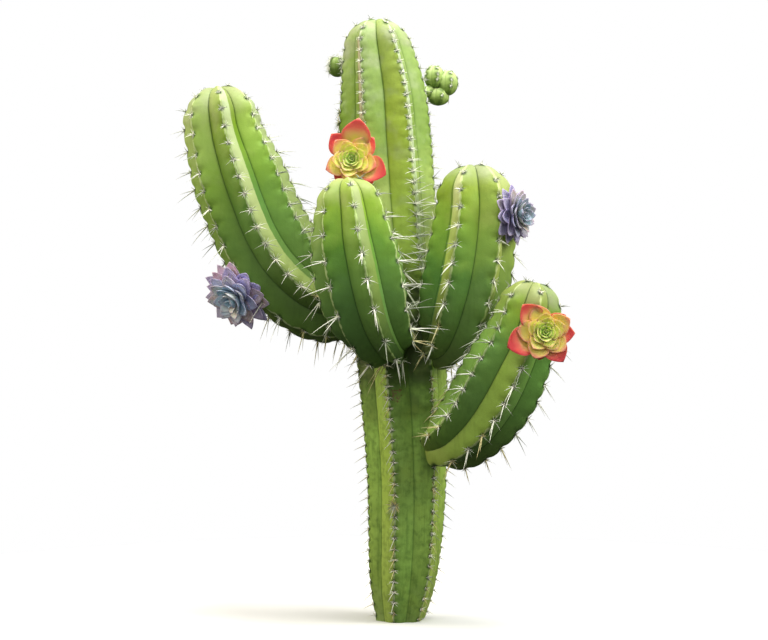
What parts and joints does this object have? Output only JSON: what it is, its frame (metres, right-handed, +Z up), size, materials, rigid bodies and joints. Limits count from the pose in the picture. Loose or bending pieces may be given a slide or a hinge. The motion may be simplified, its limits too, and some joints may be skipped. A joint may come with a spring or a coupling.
{
  "type": "branching columnar cactus",
  "caption": "Ribbed columnar cactus on one trunk, with upturned arms, young buds and succulent rosettes, cut flat at ground level to stand in a planted scene.",
  "frame": {"origin": "middle of the flat cut under the trunk, at ground level", "axes": "+Z up the trunk, -Y towards the front with the low arm on the right, +X to the plant's right as seen from the front"},
  "size_m": [0.9338, 0.5568, 1.4133],
  "materials": {
    "skin": "waxy green stem skin, semi-matt",
    "bud": "pale young stem skin, semi-matt",
    "rosette_red": "smooth waxy leaf, yellow-green with red edges",
    "rosette_violet": "powdery leaf, blue-grey and lilac",
    "spine": "dry pale horn"
  },
  "bodies": {
    "root": {"trunk": "skin", "arm_left_base": "skin", "arm_left_upper": "skin", "arm_front": "skin", "arm_right": "skin", "arm_low_base": "skin", "arm_low_upper": "skin", "bud_right": "bud", "bud_left": "bud", "rosette_red_upper": "rosette_red", "rosette_red_lower": "rosette_red", "rosette_violet_left": "rosette_violet", "rosette_violet_right": "rosette_violet"}
  },
  "joints": []
}
